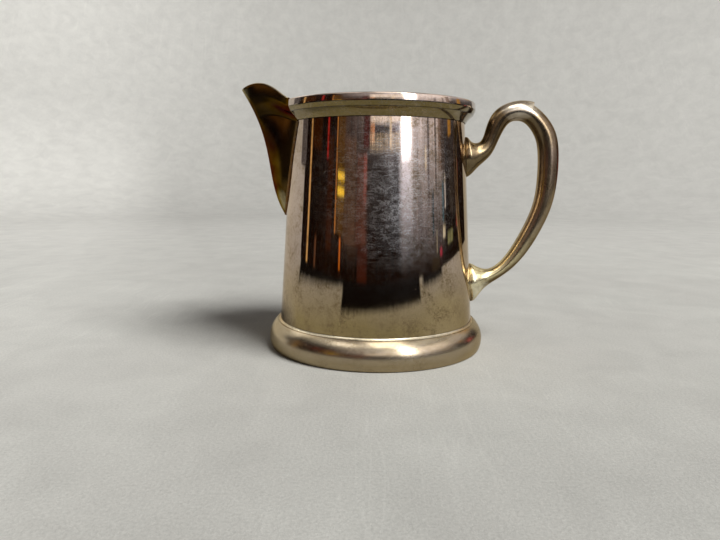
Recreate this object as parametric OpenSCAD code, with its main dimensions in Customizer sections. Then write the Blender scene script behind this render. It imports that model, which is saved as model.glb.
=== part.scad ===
// Small silver-plated cream jug, made of six worked pieces that are joined by solder.
// Millimetres, +Z up. The origin is on the axis of the drum, at the plane the foot rests on.
// The spout points to -X and the handle to +X.

/* [Drum] */
// Outside radius of the drum where it leaves the foot ring
drum_foot_r = 34.4; // [32:0.1:37]
// Outside radius of the drum where it enters the rim moulding
drum_neck_r = 30; // [28:0.1:32]
// Height of the drum wall that shows between the foot ring and the rim moulding
wall_h = 68.6; // [63:0.1:75]
// Thickness of the drum's sheet
drum_t = 0.9; // [0.7:0.05:1.2]

/* [Foot ring] */
// Height of the foot ring
foot_h = 9.4; // [8.8:0.1:10.2]
// How far the foot ring's widest line stands out past the drum
foot_overhang = 3.9; // [3.4:0.1:4.4]
// Radius of the foot ring's rounded face, seen in section
foot_face_r = 8; // [7.6:0.1:9]
// Height of the foot ring's widest line
foot_bulge_z = 3.3; // [3:0.1:3.8]
// Radius of the foot ring's lower edge
foot_edge_r = 0.8; // [0.5:0.05:1]
// Thickness of the foot ring's sheet
foot_t = 0.9; // [0.7:0.05:1]
// How far the foot ring's flange reaches in under the drum
foot_flange_w = 1.6; // [1.3:0.1:2.4]

/* [Bottom plate] */
// Height of the recess under the bottom plate
bottom_recess = 3; // [2.4:0.1:3.6]
// Thickness of the bottom plate
bottom_t = 1; // [0.8:0.05:1.3]

/* [Rim moulding] */
// How far the rim's band stands out past the drum's neck
rim_overhang = 3.5; // [3.1:0.1:3.9]
// Thickness of the band at the mouth
rim_t = 1.9; // [1.6:0.1:2.2]
// Radius of the edges along the top of the band
rim_edge_r = 0.5; // [0.3:0.05:0.7]
// Height of the cove over the neck
cove_h = 2.6; // [2.2:0.1:3]
// How far the cove hollows in from a straight slope
cove_sag = 0.25; // [0:0.05:0.4]
// Height of the slope between the cove and the band
slope_h = 1.5; // [1.2:0.1:1.8]
// Width of that slope
slope_w = 0.7; // [0.5:0.05:0.9]
// Height of the band's straight face
band_h = 2; // [1.6:0.1:2.4]
// Thickness of the cove's lower edge
cove_edge_t = 0.3; // [0.2:0.05:0.5]
// How far the drum reaches up inside the rim moulding
rim_lap = 1.8; // [1.4:0.1:2.2]
// Half of the angle at which the rim stops for the spout
rim_open_a = 30.2; // [28:0.1:33]

/* [Spout] */
// Thickness of the spout's sheet
spout_t = 1; // [0.8:0.05:1.2]
// How far the spout runs down the drum below the rim moulding
spout_drop = 31.6; // [28:0.1:36]
// How far the spout's tip stands out past the drum's wall
spout_reach = 18.2; // [16:0.1:20]
// Height of the spout's tip over the band's straight face
spout_rise = 5.1; // [4.2:0.1:6.2]
// Height of the hump in the lip behind the tip
lip_hump = 5.1; // [4:0.1:6.2]
// Roundness of the spout's keel
keel_round = 0.9; // [0.5:0.1:1.3]
// Width of the drum's edge that stays behind the spout all round its opening
spout_land = 1.8; // [1.4:0.1:2.6]

/* [Handle] */
// How far the handle's thickest line stands out past the drum's wall
handle_reach = 33; // [29:0.1:36]
// Distance from the rim moulding down to the tip of the upper shield
handle_neck_gap = 4.2; // [3:0.1:6]
// Distance from the foot ring up to the tip of the lower shield
handle_foot_gap = 6; // [4:0.1:9]
// How far the handle's crown rises over the tip of the upper shield
handle_rise = 12.1; // [10:0.1:14]
// Thickness of the handle's rod where it is thickest, seen from the side
rod_depth = 7.2; // [6.2:0.1:7.8]
// Thickness of the handle's rod where it is thickest, seen from behind
rod_breadth = 6.6; // [5.8:0.1:7.2]
// Length of each shield along the drum
shield_l = 13.9; // [12.5:0.1:15]
// Width of each shield round the drum
shield_w = 9.4; // [8.4:0.1:11]
// How far the tip of the thumb leaf lifts off the rod
leaf_lift = 1.1; // [0.8:0.05:1.4]

/* [Solder] */
// Thickness of the solder between a piece and the drum
solder_t = 0.3; // [0.2:0.02:0.4]
// Leg of the solder bead along a visible joint
bead_leg = 0.6; // [0.4:0.05:0.8]

/* [Fineness] */
// Sides of the handle's rod
rod_sides = 28; // [20:2:32]
// Rings of the handle between two of its stations
rod_steps = 5; // [3:1:6]
// Columns in half of the spout's sheet
spout_columns = 16; // [10:1:20]
// Rows up the spout's sheet
spout_rows = 30; // [20:1:36]
// Steps in a rounded stretch of a turned profile
arc_steps = 10; // [6:1:16]

/* [Hidden] */
$fn = 96;

// Slack between faces that would otherwise lie in one another
slack = 0.03;
// Overrun of every cut
overrun = 1;

// Heights up the drum
neck_z = foot_h + wall_h;
drum_top_z = neck_z + rim_lap;
cove_top_z = neck_z + cove_h;
band_z = cove_top_z + slope_h;
edge_z = band_z + band_h;

// Radii of the rim moulding
rim_r = drum_neck_r + rim_overhang;
cove_foot_r = drum_neck_r + solder_t / 2 + cove_edge_t;
cove_top_r = rim_r - slope_w;
rim_mouth_r = rim_r - rim_t;

// Outside radius of the drum at a height
function drum_r(z) = drum_neck_r + (drum_foot_r - drum_neck_r) * (neck_z - z) / wall_h;
// Inside radius of the drum at a height
function drum_in_r(z) = drum_r(z) - drum_t;
// Lean of the drum's wall from upright
wall_lean = atan((drum_foot_r - drum_neck_r) / wall_h);

// Between two values
function mix(a, b, t) = a + (b - a) * t;
function clamp01(t) = min(1, max(0, t));
// Point at an angle from -X, where positive angles go to +Y
function polar(r, a, z) = [-r * cos(a), r * sin(a), z];
function unit(v) = v / norm(v);
// Cubic curve through its first and last point
function bezier(p, t) =
    pow(1 - t, 3) * p[0] + 3 * t * pow(1 - t, 2) * p[1]
    + 3 * t * t * (1 - t) * p[2] + pow(t, 3) * p[3];
// Arc of points round a centre
function arc(c, r, a0, a1) =
    [for (i = [0:arc_steps]) let (a = mix(a0, a1, i / arc_steps)) c + r * [cos(a), sin(a)]];
// Even curve that starts and ends on the first and last row of a table
function spline(rows, s) =
    let (last = len(rows) - 1, k = min(floor(s), last - 1), t = s - k,
         before = k == 0 ? 2 * rows[0] - rows[1] : rows[k - 1],
         after = k == last - 1 ? 2 * rows[last] - rows[last - 1] : rows[k + 2])
    (pow(1 - t, 3) * before + (3 * t * t * t - 6 * t * t + 4) * rows[k]
     + (-3 * t * t * t + 3 * t * t + 3 * t + 1) * rows[k + 1] + t * t * t * after) / 6;

// Triangles that close a grid of points round a tube: rows of equal length, each row a closed loop
function tube_faces(rows, sides) =
    [for (j = [0:rows - 2], i = [0:sides - 1])
        let (a = j * sides + i, b = j * sides + (i + 1) % sides)
        each [[a, b, b + sides], [a, b + sides, a + sides]]];

// Drum: a tapered sheet tube, cut to a V behind the spout

// Half width of the spout's joint on the drum at a height, where share runs from 0 to 1
function joint_half_w(share) = drum_neck_r * sin(rim_open_a) * sqrt(clamp01(share));
spout_foot_z = neck_z - spout_drop;
function spout_share(z) = (z - spout_foot_z) / spout_drop;

// Share of the spout's joint at which the opening in the drum begins
opening_foot_share = 0.2;
opening_foot_z = mix(spout_foot_z, neck_z, opening_foot_share);
// Share of the opening's height over which its foot is rounded
opening_round_share = 0.16;
// Half width of the opening behind the spout, at a share of its own height
function opening_half_w(share) =
    (joint_half_w(mix(opening_foot_share, 1, share)) - spout_land)
    * sqrt(clamp01(share / opening_round_share));

module drum() {
    opening_h = drum_top_z - opening_foot_z + overrun;
    right = [for (i = [0:arc_steps])
        let (share = pow(i / arc_steps, 2))
        [opening_half_w(share), opening_foot_z + share * opening_h]];
    left = [for (i = [arc_steps:-1:1]) [-right[i][0], right[i][1]]];
    color("silver")
        difference() {
            rotate_extrude()
                polygon([
                    [drum_in_r(foot_t), foot_t],
                    [drum_r(foot_t), foot_t],
                    [drum_r(drum_top_z), drum_top_z],
                    [drum_in_r(drum_top_z), drum_top_z]
                ]);
            rotate([90, 0, -90])
                linear_extrude(max(drum_r(opening_foot_z), drum_r(drum_top_z)) + overrun)
                    polygon(concat(right, left));
        }
}

// Bottom plate: a disc inside the drum, just above the resting plane

plate_z = bottom_recess;

module bottom_plate() {
    color("lightgray")
        rotate_extrude()
            polygon([
                [0, plate_z],
                [drum_in_r(plate_z) - slack, plate_z],
                [drum_in_r(plate_z + bottom_t) - slack, plate_z + bottom_t],
                [0, plate_z + bottom_t]
            ]);
}

// Foot ring: a hollow half-round moulding whose flange carries the drum

foot_r = drum_foot_r + foot_overhang;
foot_centre = [foot_r - foot_face_r, foot_bulge_z];
foot_edge_centre = [
    foot_centre[0] + sqrt(pow(foot_face_r - foot_edge_r, 2) - pow(foot_bulge_z - foot_edge_r, 2)),
    foot_edge_r
];
foot_edge_a = atan2(foot_edge_centre[1] - foot_centre[1], foot_edge_centre[0] - foot_centre[0]);
foot_inner_r = foot_face_r - foot_t;
// Where the inside of the moulding meets the drum and the flange
foot_top_a = asin((foot_h - foot_bulge_z) / foot_face_r);
foot_hollow_top_a = acos((drum_r(foot_h) + slack - foot_centre[0]) / foot_inner_r);
foot_hollow_low_a = -asin((foot_bulge_z - foot_t) / foot_inner_r);

module foot_ring() {
    color("silver")
        rotate_extrude()
            polygon(concat(
                [[drum_r(foot_h) + slack, foot_h]],
                arc(foot_centre, foot_face_r, foot_top_a, foot_edge_a),
                arc(foot_edge_centre, foot_edge_r, foot_edge_a, -90),
                [[drum_r(0) - foot_flange_w, 0], [drum_r(0) - foot_flange_w, foot_t]],
                arc(foot_centre, foot_inner_r, foot_hollow_low_a, foot_hollow_top_a)
            ));
}

// Rim moulding: cove, slope and upright band, lapped over the drum's neck and open at the spout

// Radius of the cove's face at a share of its height
function cove_r(share) =
    mix(cove_foot_r, cove_top_r, share) - 4 * cove_sag * share * (1 - share);
// Outside radius of the rim moulding at a height over the neck
function rim_face_r(z) =
    z < cove_top_z ? cove_r((z - neck_z) / cove_h)
    : z < band_z ? mix(cove_top_r, rim_r, (z - cove_top_z) / slope_h)
    : rim_r;
rim_gap_a = rim_open_a + asin(solder_t / rim_r);

module rim_moulding() {
    color("silver")
        rotate([0, 0, rim_gap_a - 180])
            rotate_extrude(angle = 360 - 2 * rim_gap_a)
                polygon(concat(
                    [for (i = [0:arc_steps])
                        [cove_r(i / arc_steps), neck_z + cove_h * i / arc_steps]],
                    [[rim_r, band_z]],
                    arc([rim_r - rim_edge_r, edge_z], rim_edge_r, 0, 90),
                    arc([rim_mouth_r + rim_edge_r, edge_z], rim_edge_r, 90, 180),
                    [
                        [rim_mouth_r, band_z],
                        [drum_r(drum_top_z) + solder_t / 2, drum_top_z],
                        [drum_neck_r + solder_t / 2, neck_z]
                    ]
                ));
}

// Spout: one sheet, folded along its keel and dressed to the drum

// Stand-off of the keel and its height, as shares of the spout's reach and height
keel_shares = [[0.05, 0], [0.497, 0.296], [0.256, 0.547], [1, 1]];
spout_tip_z = edge_z + spout_rise;
lip_side_z = edge_z + rim_edge_r;
// How the half section leaves the joint and reaches the keel, as shares of the chord between them
section_side_share = 0.19;
section_keel_share = 0.557;
section_width_share = 0.295;
// How much fuller the section is at the foot of the spout than at its lip
section_full_share = 0.3;
// How fast the hump and the fullness fade below the lip
lip_fade = 4;

function keel_point(v) =
    let (p = bezier(keel_shares, v), z = mix(spout_foot_z, spout_tip_z, p[1]))
    [-drum_r(z) - p[0] * spout_reach, 0, z];
// Where the sheet's outer edge is seated, on the drum and then on the rim's end face
function side_z(v) = mix(spout_foot_z, lip_side_z, v);
// Half width of the spout's foot, as a share of its sheet's thickness
spout_foot_share = 1.17;
function side_point(v, inset) =
    let (z = side_z(v),
         over = z > neck_z,
         r = (over ? max(rim_face_r(z), drum_r(z) + solder_t) : drum_r(z) + solder_t),
         half_w = max(joint_half_w(spout_share(z)), spout_foot_share * spout_t),
         a = over ? rim_open_a : asin(half_w / r),
         depth = clamp01((z - neck_z) / cove_h) * inset)
    polar(r - depth, a - asin(inset / r), z);
// Point of the sheet: u runs from -1 to 1 across the keel, v from the foot to the lip
function sheet_point(u, v, inset) =
    let (w = abs(u),
         side = side_point(v, inset),
         keel_out = keel_point(v),
         keel = [min(keel_out[0] + inset, -drum_r(keel_out[2]) - solder_t), 0, keel_out[2]],
         chord = keel - side,
         full = section_full_share * (1 - v),
         fade = pow(v, lip_fade),
         p = bezier([
             side,
             side + [chord[0] * (section_side_share + full), chord[1] * section_width_share,
                     chord[2] * section_side_share],
             keel - [chord[0] * (section_keel_share - full), chord[1] * section_keel_share,
                     -lip_hump * fade],
             keel
         ], 1 - w),
         slope = abs(chord[0] / chord[1]),
         blunt = keel_round * clamp01(norm(chord) / spout_reach),
         nose = slope * (p[1] + blunt - norm([p[1], blunt])) * pow(1 - w, 2),
         q = [p[0] - nose, p[1], p[2]],
         seat = drum_r(min(q[2], neck_z)) + solder_t,
         r = norm([q[0], q[1]]),
         k = r < seat ? seat / r : 1)
    [q[0] * k, q[1] * k * (u < 0 ? -1 : 1), q[2]];

sheet_columns = 2 * spout_columns + 1;

function sheet_grid(inset) =
    [for (j = [0:spout_rows], i = [-spout_columns:spout_columns])
        sheet_point(i / spout_columns, j / spout_rows, inset)];

module spout() {
    outer = sheet_grid(0);
    inner = sheet_grid(spout_t);
    crown = [for (i = [0:sheet_columns - 1])
        let (a = outer[spout_rows * sheet_columns + i], b = inner[spout_rows * sheet_columns + i])
        (a + b) / 2 + [0, 0, spout_t / 4]];
    n = len(outer);
    c = sheet_columns;
    top = spout_rows * c;
    across = [for (j = [0:spout_rows - 1], i = [0:c - 2])
        let (a = j * c + i)
        each [[a, a + c, a + c + 1], [a, a + c + 1, a + 1]]];
    back = [for (f = across) [f[2] + n, f[1] + n, f[0] + n]];
    foot = [for (i = [0:c - 2]) each [[i, i + 1, n + i + 1], [i, n + i + 1, n + i]]];
    lip = [for (i = [0:c - 2]) let (a = top + i, b = n + top + i, m = 2 * n + i)
        each [[a, m, m + 1], [a, m + 1, a + 1], [m, b, b + 1], [m, b + 1, m + 1]]];
    sides = [for (j = [0:spout_rows - 1]) let (a = j * c, b = a + c - 1)
        each [[a, n + a, n + a + c], [a, n + a + c, a + c],
              [b, n + b + c, n + b], [b, b + c, n + b + c]]];
    ends = [[top, n + top, 2 * n], [top + c - 1, 2 * n + c - 1, n + top + c - 1]];
    color("darkgoldenrod")
        polyhedron(concat(outer, inner, crown), concat(across, back, foot, lip, sides, ends));
}

// Handle: a cast rod that swells, turns over and flares into a shield at each end

handle_low_z = foot_h + handle_foot_gap;
handle_h = neck_z - handle_neck_gap + handle_rise - handle_low_z;
// Stations along the rod. The first two columns place the middle of the rod, as shares of the
// handle's reach and height. The third is the tilt of the section from the drum's wall, where
// 90 is along the wall. The last two are its depth and breadth, as shares of the rod's own.
handle_shares = [
    [0.040, 0.736, 92, 1.86, 1.56],
    [0.096, 0.742, 102, 1.12, 1.16],
    [0.218, 0.767, 125, 0.79, 0.90],
    [0.272, 0.823, 145, 0.73, 0.86],
    [0.346, 0.910, 150, 0.90, 0.92],
    [0.458, 0.952, 114, 0.88, 0.97],
    [0.627, 0.959, 73, 0.92, 1.00],
    [0.750, 0.918, 52, 0.91, 1.00],
    [0.864, 0.839, 18, 1.00, 1.00],
    [0.876, 0.741, -1, 0.99, 1.00],
    [0.864, 0.636, -7, 0.97, 0.98],
    [0.823, 0.512, -14, 0.91, 0.96],
    [0.724, 0.406, -26, 0.84, 0.93],
    [0.590, 0.297, -42, 0.82, 0.88],
    [0.442, 0.204, -54, 0.69, 0.80],
    [0.271, 0.140, -56, 0.54, 0.76],
    [0.126, 0.124, -84, 0.95, 1.04],
    [0.036, 0.099, -87, 1.95, 1.54]
];
shield_up_z = neck_z - handle_neck_gap - shield_l / 2;
shield_low_z = handle_low_z + shield_l / 2;
handle_stations = concat(
    [[0, shield_up_z, 90, shield_l, shield_w]],
    [for (h = handle_shares)
        [h[0] * handle_reach, handle_low_z + h[1] * handle_h, h[2],
         h[3] * rod_depth, h[4] * rod_breadth]],
    [[0, shield_low_z, -90, shield_l, shield_w]]
);
handle_end = len(handle_stations) - 1;
// How many spans of the stations the shields' curve round the drum fades over
shield_fade = 1.6;
// How pointed a shield is, where 1 is an oval
shield_point = 1.6;
// Stations between which the thumb leaf lifts off the rod, and how narrow its tongue is
leaf_from = 5.8;
leaf_to = 7.42;
leaf_narrow = 5;

function leaf(s) =
    s < leaf_from || s > leaf_to ? 0
    : leaf_lift * pow((s - leaf_from) / (leaf_to - leaf_from), 2);
// How much a section belongs to the shield at its end of the rod
function shield_part(s) = clamp01(1 - min(s, handle_end - s) / shield_fade);

// One point of the rod's skin, at station s and angle a round the section
function rod_point(s, a, lift) =
    let (h = spline(handle_stations, s),
         part = shield_part(s),
         tilt = h[2] + wall_lean,
         out = cos(a) * h[3] / 2 + lift * pow(max(0, cos(a)), leaf_narrow),
         y = sign(sin(a)) * pow(abs(sin(a)), mix(1, shield_point, part)) * h[4] / 2,
         z = h[1] + out * sin(tilt),
         seat = drum_r(z) + solder_t,
         x = drum_r(h[1]) + solder_t / cos(wall_lean) + h[0] + out * cos(tilt))
    s == 0 || s == handle_end ? on_drum(y, z, solder_t)
    : [max(x - pow(part, 2) * (seat - sqrt(seat * seat - y * y)), on_drum(y, z, solder_t)[0]), y, z];
// Point on the drum's far side from the spout, a little out from the wall
function on_drum(y, z, out) = [sqrt(pow(drum_r(z) + out, 2) - y * y), y, z];
function rod_ring(s, lift) = [for (i = [0:rod_sides - 1]) rod_point(s, 360 * i / rod_sides, lift)];
// Shares of a shield's size at which its seat has rings of points
seat_shares = [0.67, 0.34];
// Rings that close a shield's seat against the drum
function seat_rings(ring, z_mid, out) =
    [for (k = seat_shares) [for (p = ring) on_drum(p[1] * k, mix(z_mid, p[2], k), out)]];
// Triangles from the last ring of a tube to one middle point
function fan(first, sides, middle) =
    [for (i = [0:sides - 1]) [first + i, first + (i + 1) % sides, middle]];
function flip(faces) = [for (f = faces) [f[2], f[1], f[0]]];

module handle() {
    stops = [for (i = [0:rod_steps * handle_end]) i / rod_steps];
    before = [for (s = stops) if (s < leaf_to) rod_ring(s, leaf(s))];
    after = [for (s = stops) if (s >= leaf_to) rod_ring(s, 0)];
    rings = concat(before, [rod_ring(leaf_to, leaf_lift), rod_ring(leaf_to + slack, 0)], after);
    upper = seat_rings(rings[0], shield_up_z, solder_t);
    lower = seat_rings(rings[len(rings) - 1], shield_low_z, solder_t);
    loops = concat([upper[1], upper[0]], rings, lower);
    points = [for (loop = loops) each loop];
    n = len(points);
    color("tan")
        polyhedron(
            concat(points, [on_drum(0, shield_up_z, solder_t), on_drum(0, shield_low_z, solder_t)]),
            concat(
                tube_faces(len(loops), rod_sides),
                flip(fan(0, rod_sides, n)),
                fan(n - rod_sides, rod_sides, n + 1)
            )
        );
}

// Solder: what joins the pieces

// Round the drum, on the foot ring's top edge
module foot_solder() {
    z = foot_h + slack;
    color("whitesmoke")
        rotate_extrude()
            polygon([
                [drum_r(z) + slack, z],
                [drum_r(z) + slack + bead_leg, z],
                [drum_r(z + bead_leg) + slack, z + bead_leg]
            ]);
}

// Round the inside of the drum, under the bottom plate
module bottom_solder() {
    z = plate_z - slack;
    color("whitesmoke")
        rotate_extrude()
            polygon([
                [drum_in_r(z) - slack, z],
                [drum_in_r(z - bead_leg) - slack, z - bead_leg],
                [drum_in_r(z) - slack - bead_leg, z]
            ]);
}

// Round the mouth, between the drum's top edge and the inside of the rim moulding
module rim_solder() {
    z = drum_top_z + slack;
    top = z + bead_leg;
    // The rim moulding's inner slope
    function inner_r(h) =
        mix(drum_r(drum_top_z) + solder_t / 2, rim_mouth_r, (h - drum_top_z) / (band_z - drum_top_z));
    color("whitesmoke")
        rotate([0, 0, rim_gap_a - 180])
            rotate_extrude(angle = 360 - 2 * rim_gap_a)
                polygon([
                    [drum_in_r(drum_top_z) + slack, z],
                    [inner_r(z) - slack, z],
                    [inner_r(top) - slack, top]
                ]);
}

// Along the spout's joint: down one side, round the foot and up the other
bead_rows = floor(spout_rows * spout_drop / (lip_side_z - spout_foot_z)) - 1;
// Places of the bead round the spout's foot, on each side of the keel
bead_foot_steps = 3;
// Corners of the bead's section
bead_corners = 3;

function bead_path() =
    concat(
        [for (j = [bead_rows:-1:0]) [-1, j / spout_rows]],
        [for (i = [-bead_foot_steps:bead_foot_steps]) [i / (bead_foot_steps + 1), 0]],
        [for (j = [0:bead_rows]) [1, j / spout_rows]]
    );

module spout_solder() {
    path = bead_path();
    corner = [for (p = path) sheet_point(p[0], p[1], 0)];
    last = len(path) - 1;
    rings = [for (k = [0:last])
        let (along = unit(corner[min(last, k + 1)] - corner[max(0, k - 1)]),
             radial = unit([corner[k][0], corner[k][1], 0]),
             away = unit(cross(radial, along)),
             low = corner[k] + away * bead_leg,
             seat = (drum_r(low[2]) + slack) / norm([low[0], low[1]]),
             start = corner[k] + away * slack,
             base = (drum_r(start[2]) + slack) / norm([start[0], start[1]]))
        [
            [start[0] * base, start[1] * base, start[2]],
            [low[0] * seat, low[1] * seat, low[2]],
            corner[k] + away * slack + radial * bead_leg / 2
        ]];
    points = [for (r = rings) each r];
    n = len(points);
    color("whitesmoke")
        polyhedron(
            points,
            concat(
                tube_faces(len(rings), bead_corners),
                [[2, 1, 0], [n - bead_corners, n - bead_corners + 1, n - 1]]
            )
        );
}

// Under one shield, with a bevel that shows round its edge
// How much larger than the shield the pad is at its foot, as a share of the shield
pad_foot_share = 1.12;
pad_top_share = 1.02;

module shield_solder(ring, z_mid) {
    function grown(k, out) = [for (p = ring) on_drum(p[1] * k, mix(z_mid, p[2], k), out)];
    loops = concat(
        [for (k = [seat_shares[1], seat_shares[0], 1]) grown(k, slack)],
        [grown(pad_foot_share, slack), grown(pad_top_share, solder_t - slack)],
        [for (k = seat_shares) grown(k, solder_t - slack)]
    );
    points = [for (loop = loops) each loop];
    n = len(points);
    color("whitesmoke")
        polyhedron(
            concat(points, [on_drum(0, z_mid, slack), on_drum(0, z_mid, solder_t - slack)]),
            concat(
                tube_faces(len(loops), rod_sides),
                flip(fan(0, rod_sides, n)),
                fan(n - rod_sides, rod_sides, n + 1)
            )
        );
}

module upper_handle_solder() {
    shield_solder(rod_ring(0, 0), shield_up_z);
}

module lower_handle_solder() {
    shield_solder(rod_ring(handle_end, 0), shield_low_z);
}

drum();
bottom_plate();
foot_ring();
rim_moulding();
spout();
handle();
foot_solder();
bottom_solder();
rim_solder();
spout_solder();
upper_handle_solder();
lower_handle_solder();
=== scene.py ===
"""Looks of a small silver-plated cream jug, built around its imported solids."""

import math

import bmesh
import bpy
import numpy as np
from mathutils import Matrix, Vector


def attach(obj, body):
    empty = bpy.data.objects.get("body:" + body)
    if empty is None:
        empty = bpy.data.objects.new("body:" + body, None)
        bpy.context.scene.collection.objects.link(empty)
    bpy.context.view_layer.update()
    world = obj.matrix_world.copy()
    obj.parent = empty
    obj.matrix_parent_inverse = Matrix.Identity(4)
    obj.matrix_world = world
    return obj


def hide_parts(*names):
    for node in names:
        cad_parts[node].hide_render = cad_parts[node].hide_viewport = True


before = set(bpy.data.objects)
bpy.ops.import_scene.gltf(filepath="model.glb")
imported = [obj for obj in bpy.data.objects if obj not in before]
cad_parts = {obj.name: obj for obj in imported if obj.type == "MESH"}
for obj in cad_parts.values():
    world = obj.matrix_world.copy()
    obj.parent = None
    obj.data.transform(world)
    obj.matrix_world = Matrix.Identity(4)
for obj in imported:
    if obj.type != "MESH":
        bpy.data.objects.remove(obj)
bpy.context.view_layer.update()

scene = bpy.context.scene
MM = 0.001

# Sizes in millimetres, the same as in the part's source

DRUM_FOOT_R, DRUM_NECK_R, WALL_H, DRUM_T = 34.4, 30.0, 68.6, 0.9
FOOT_H, FOOT_OVERHANG, FOOT_FACE_R, FOOT_BULGE_Z = 9.4, 3.9, 8.0, 3.3
FOOT_EDGE_R, FOOT_T, FOOT_FLANGE_W = 0.8, 0.9, 1.6
BOTTOM_RECESS, BOTTOM_T = 3.0, 1.0
RIM_OVERHANG, RIM_T, RIM_EDGE_R, COVE_H, COVE_SAG = 3.5, 1.9, 0.5, 2.6, 0.25
SLOPE_H, SLOPE_W, BAND_H, COVE_EDGE_T, RIM_LAP = 1.5, 0.7, 2.0, 0.3, 1.8
RIM_OPEN_A = 30.2
SPOUT_T, SPOUT_DROP, SPOUT_REACH, SPOUT_RISE = 1.0, 31.6, 18.2, 5.1
LIP_HUMP, KEEL_ROUND, SPOUT_LAND = 5.1, 0.9, 1.8
HANDLE_REACH, HANDLE_NECK_GAP, HANDLE_FOOT_GAP, HANDLE_RISE = 33.0, 4.2, 6.0, 12.1
ROD_DEPTH, ROD_BREADTH, SHIELD_L, SHIELD_W, LEAF_LIFT = 7.2, 6.6, 13.9, 9.4, 1.1
SOLDER_T, BEAD_LEG, SLACK = 0.3, 0.6, 0.03
SHIELD_RINGS = (0.34, 0.67)  # share of the shield's size at the rings inside its outline

NECK_Z = FOOT_H + WALL_H
DRUM_TOP_Z = NECK_Z + RIM_LAP
COVE_TOP_Z = NECK_Z + COVE_H
BAND_Z = COVE_TOP_Z + SLOPE_H
EDGE_Z = BAND_Z + BAND_H
RIM_R = DRUM_NECK_R + RIM_OVERHANG
COVE_FOOT_R = DRUM_NECK_R + SOLDER_T / 2 + COVE_EDGE_T
COVE_TOP_R = RIM_R - SLOPE_W
RIM_MOUTH_R = RIM_R - RIM_T
WALL_LEAN = math.atan((DRUM_FOOT_R - DRUM_NECK_R) / WALL_H)
SPOUT_FOOT_Z = NECK_Z - SPOUT_DROP
SPOUT_TIP_Z = EDGE_Z + SPOUT_RISE
LIP_SIDE_Z = EDGE_Z + RIM_EDGE_R

# Fineness of the meshes
RING = 360
ARC = 20
SPOUT_COLUMNS = 96
SPOUT_ROWS = 110
ROD_SIDES = 72
ROD_STEPS = 10


def mix(a, b, t):
    return a + (b - a) * t


def clamp01(t):
    return np.clip(t, 0, 1)


def drum_r(z):
    return DRUM_NECK_R + (DRUM_FOOT_R - DRUM_NECK_R) * (NECK_Z - z) / WALL_H


def drum_in_r(z):
    return drum_r(z) - DRUM_T


def bezier(p0, p1, p2, p3, t):
    return (1 - t) ** 3 * p0 + 3 * t * (1 - t) ** 2 * p1 + 3 * t * t * (1 - t) * p2 + t**3 * p3


def arc(centre, r, a0, a1, steps=ARC):
    a = np.radians(np.linspace(a0, a1, steps + 1))
    return [[centre[0] + r * math.cos(t), centre[1] + r * math.sin(t)] for t in a]


# Meshes


def make(name, points, faces, material, sharp=38):
    """Mesh object from points in millimetres, with its doubles merged and its normals outward."""
    mesh = bpy.data.meshes.new(name)
    mesh.from_pydata([tuple(p) for p in np.asarray(points, float) * MM], [], faces)
    tidy = bmesh.new()
    tidy.from_mesh(mesh)
    bmesh.ops.remove_doubles(tidy, verts=tidy.verts, dist=2e-6)
    bmesh.ops.dissolve_degenerate(tidy, edges=tidy.edges, dist=1e-7)
    bmesh.ops.recalc_face_normals(tidy, faces=tidy.faces)
    tidy.to_mesh(mesh)
    tidy.free()
    for face in mesh.polygons:
        face.use_smooth = True
    mesh.set_sharp_from_angle(angle=math.radians(sharp))
    piece = bpy.data.objects.new(name, mesh)
    scene.collection.objects.link(piece)
    mesh.materials.append(material)
    return piece


def fit(piece, slot, *nodes):
    """The piece rides on the jug and stands for its solids."""
    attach(piece, "root")
    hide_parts(*nodes)


def lathe(profile, start=0.0, end=360.0, steps=RING, sway=None):
    """Points and faces of a closed profile turned about the axis. sway moves a radius by angle."""
    whole = end - start >= 360
    turns = steps if whole else steps + 1
    angles = np.radians(np.linspace(start, end, steps + 1)[:turns])
    points = []
    for a in angles:
        for r, z in profile:
            r = r + sway(a, r) if sway else r
            points.append((r * math.cos(a), r * math.sin(a), z))
    n = len(profile)
    faces = []
    for t in range(steps):
        u = (t + 1) % turns
        for j in range(n):
            k = (j + 1) % n
            faces.append((t * n + j, u * n + j, u * n + k, t * n + k))
    if not whole:
        faces.append(tuple(range(n)))
        faces.append(tuple((turns - 1) * n + j for j in reversed(range(n))))
    return points, faces


def tube(loops, caps=()):
    """Points and faces round a row of closed loops. caps close the ends onto a middle point."""
    n = len(loops[0])
    points = [p for loop in loops for p in loop]
    faces = []
    for j in range(len(loops) - 1):
        for i in range(n):
            a, b = j * n + i, j * n + (i + 1) % n
            faces.append((a, b, b + n, a + n))
    for first, middle in zip((0, len(points) - n), caps):
        points.append(middle)
        for i in range(n):
            faces.append((first + i, first + (i + 1) % n, len(points) - 1))
    return points, faces


# Joint of the spout


def joint_half_w(share):
    return DRUM_NECK_R * math.sin(math.radians(RIM_OPEN_A)) * np.sqrt(clamp01(share))


OPENING_FOOT_SHARE = 0.2
OPENING_ROUND_SHARE = 0.16
OPENING_FOOT_Z = mix(SPOUT_FOOT_Z, NECK_Z, OPENING_FOOT_SHARE)


def opening_half_w(z):
    """Half width of the drum's opening behind the spout at a height."""
    share = (z - OPENING_FOOT_Z) / (DRUM_TOP_Z - OPENING_FOOT_Z + 1)
    wide = joint_half_w(mix(OPENING_FOOT_SHARE, 1, clamp01(share))) - SPOUT_LAND
    return wide * np.sqrt(clamp01(share / OPENING_ROUND_SHARE))


# Drum: a sheet tube, cut to a V behind the spout


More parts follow.
